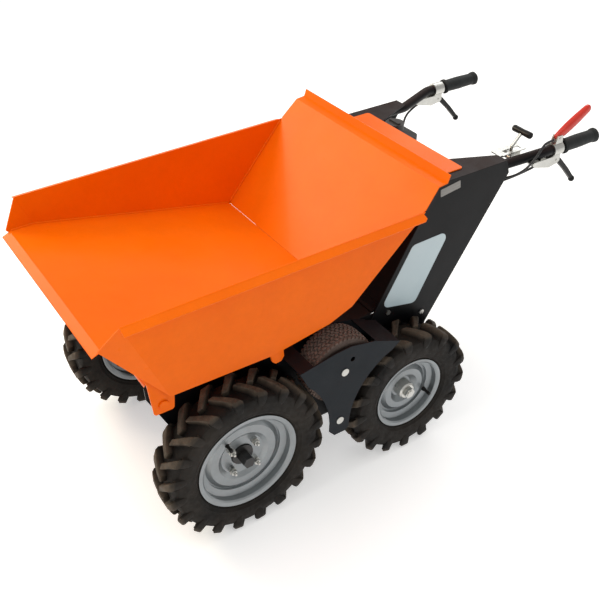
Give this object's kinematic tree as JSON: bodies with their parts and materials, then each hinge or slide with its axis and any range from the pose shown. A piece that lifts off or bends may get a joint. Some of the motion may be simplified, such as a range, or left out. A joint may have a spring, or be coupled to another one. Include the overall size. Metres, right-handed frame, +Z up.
{
  "type": "power wheelbarrow",
  "caption": "Petrol power wheelbarrow: orange tipping tub on a black chassis, lugged tyres with friction idler wheels between them, a slanted engine tower and long lever handles.",
  "frame": {"origin": "centre of the bounding box, on the ground plane under the tyres", "axes": "-Y towards the tub lip (travel direction), +Y towards the operator, +X to the machine's left, +Z up"},
  "size_m": [0.688, 1.53, 0.8674],
  "materials": {
    "tub_orange": "glossy orange enamel",
    "chassis_black": "semi-gloss black paint",
    "rim_silver": "silver-grey paint",
    "tyre_black": "matt rubber, dusty lug tips",
    "zinc_steel": "bright zinc plate",
    "hub_black": "satin black",
    "grip_rubber": "soft matt grip",
    "lever_red": "dipped red vinyl",
    "decal_grey": "pale blue-grey film",
    "cable_black": "black sheath",
    "cast_aluminium": "raw casting",
    "engine_cover": "moulded black",
    "heat_steel": "heat-tinted steel",
    "machined_steel": "machined"
  },
  "bodies": {
    "chassis": {"air_filter": "engine_cover", "chassis_cross_members": "chassis_black", "chassis_deck": "chassis_black", "chassis_side_plates": "chassis_black", "control_cables": "cable_black", "drive_belt": "cable_black", "engine_block": "cast_aluminium", "engine_shroud": "engine_cover", "frame_fasteners": "zinc_steel", "front_bearings": "hub_black", "fuel_tank": "engine_cover", "gear_gate": "zinc_steel", "gearbox": "cast_aluminium", "grips": "grip_rubber", "handlebars": "chassis_black", "idler_pods": "chassis_black", "latch_bracket": "chassis_black", "lever_brackets": "zinc_steel", "muffler": "heat_steel", "recoil_starter": "engine_cover", "side_decals": "decal_grey", "stub_axles": "zinc_steel", "tower_front_panel": "chassis_black", "tower_side_plates": "chassis_black", "tower_top_cover": "tub_orange", "tub_hinge_shaft": "zinc_steel", "tub_rubber_buffers": "grip_rubber"},
    "tub": {"tub_floor": "tub_orange", "tub_side_walls": "tub_orange", "tub_rear_wall": "tub_orange", "tub_ribs": "tub_orange", "tub_latch_bar": "tub_orange"},
    "tub_latch": {"tub_latch_hook": "zinc_steel"},
    "crankshaft": {"flywheel_fan": "machined_steel", "engine_pulley": "machined_steel"},
    "gearbox_input": {"gearbox_pulley": "machined_steel"},
    "left_squeeze_lever": {"squeeze_lever_left": "hub_black"},
    "right_squeeze_lever": {"squeeze_lever_right": "hub_black"},
    "clutch_lever": {"red_clutch_lever": "lever_red"},
    "gear_selector": {"gear_lever": "hub_black"},
    "fuel_cap": {"fuel_cap": "engine_cover"},
    "recoil_pull": {"recoil_handle": "engine_cover"},
    "left_front_wheel": {"front_tyre_left": "tyre_black", "front_rim_left": "rim_silver", "front_hub_left": "hub_black"},
    "left_rear_wheel": {"rear_tyre_left": "tyre_black", "rear_rim_left": "rim_silver", "rear_hub_left": "zinc_steel"},
    "left_idler": {"idler_tyre_left": "tyre_black", "idler_hub_left": "rim_silver"},
    "right_front_wheel": {"front_tyre_right": "tyre_black", "front_rim_right": "rim_silver", "front_hub_right": "hub_black"},
    "right_rear_wheel": {"rear_tyre_right": "tyre_black", "rear_rim_right": "rim_silver", "rear_hub_right": "zinc_steel"},
    "right_idler": {"idler_tyre_right": "tyre_black", "idler_hub_right": "rim_silver"}
  },
  "joints": [
    {"name": "left_front_wheel_spin", "type": "hinge", "parent": "chassis", "child": "left_front_wheel", "pos_m": [0.292, -0.435, 0.2265], "axis": [1, 0, 0], "continuous": true},
    {"name": "left_rear_wheel_spin", "type": "hinge", "parent": "chassis", "child": "left_rear_wheel", "pos_m": [0.292, 0.08, 0.2], "axis": [1, 0, 0], "continuous": true},
    {"name": "left_idler_spin", "type": "hinge", "parent": "chassis", "child": "left_idler", "pos_m": [0.296, -0.15215, 0.39159], "axis": [1, 0, 0], "continuous": true},
    {"name": "left_squeeze", "type": "hinge", "parent": "chassis", "child": "left_squeeze_lever", "pos_m": [0.246, 0.611, 0.732], "axis": [1, 0, 0], "range_deg": [0, 28], "stiffness_Nm_per_rad": 2, "springref_deg": -14.32},
    {"name": "right_front_wheel_spin", "type": "hinge", "parent": "chassis", "child": "right_front_wheel", "pos_m": [-0.292, -0.435, 0.2265], "axis": [1, 0, 0], "continuous": true},
    {"name": "right_rear_wheel_spin", "type": "hinge", "parent": "chassis", "child": "right_rear_wheel", "pos_m": [-0.292, 0.08, 0.2], "axis": [1, 0, 0], "continuous": true},
    {"name": "right_idler_spin", "type": "hinge", "parent": "chassis", "child": "right_idler", "pos_m": [-0.296, -0.15215, 0.39159], "axis": [1, 0, 0], "continuous": true},
    {"name": "right_squeeze", "type": "hinge", "parent": "chassis", "child": "right_squeeze_lever", "pos_m": [-0.246, 0.611, 0.732], "axis": [1, 0, 0], "range_deg": [0, 28], "stiffness_Nm_per_rad": 2, "springref_deg": -14.32},
    {"name": "tub_tip", "type": "hinge", "parent": "chassis", "child": "tub", "pos_m": [0, -0.623, 0.482], "axis": [1, 0, 0], "range_deg": [0, 78]},
    {"name": "latch_release", "type": "hinge", "parent": "chassis", "child": "tub_latch", "pos_m": [0, -0.101, 0.462], "axis": [1, 0, 0], "range_deg": [-30, 0]},
    {"name": "clutch_squeeze", "type": "hinge", "parent": "chassis", "child": "clutch_lever", "pos_m": [0.246, 0.611, 0.796], "axis": [1, 0, 0], "range_deg": [-28, 0], "stiffness_Nm_per_rad": 2.5, "springref_deg": 20.05},
    {"name": "gear_select", "type": "hinge", "parent": "chassis", "child": "gear_selector", "pos_m": [0.186, 0.503, 0.742], "axis": [1, 0, 0], "range_deg": [-18, 18]},
    {"name": "fuel_cap_turn", "type": "hinge", "parent": "chassis", "child": "fuel_cap", "pos_m": [-0.118, 0.341, 0.75], "axis": [0, 0, 1], "range_deg": [0, 90]},
    {"name": "recoil_pull_out", "type": "slide", "parent": "chassis", "child": "recoil_pull", "axis": [0, 1, 0], "range_m": [0, 0.4], "stiffness_N_per_m": 25, "springref_m": -0.12},
    {"name": "crankshaft_spin", "type": "hinge", "parent": "chassis", "child": "crankshaft", "pos_m": [0, 0.259, 0.42], "axis": [0, 0, 1], "continuous": true},
    {"name": "gearbox_input_spin", "type": "hinge", "parent": "chassis", "child": "gearbox_input", "pos_m": [0, -0.373, 0.372], "axis": [0, 0, 1], "continuous": true}
  ],
  "couplings": [
    {"joint": "left_rear_wheel_spin", "follows": "left_front_wheel_spin", "ratio": 1.1325},
    {"joint": "left_idler_spin", "follows": "left_front_wheel_spin", "ratio": -2.265},
    {"joint": "right_rear_wheel_spin", "follows": "right_front_wheel_spin", "ratio": 1.1325},
    {"joint": "right_idler_spin", "follows": "right_front_wheel_spin", "ratio": -2.265},
    {"joint": "latch_release", "follows": "right_squeeze", "ratio": -1.05},
    {"joint": "gearbox_input_spin", "follows": "crankshaft_spin", "ratio": 0.66667}
  ]
}
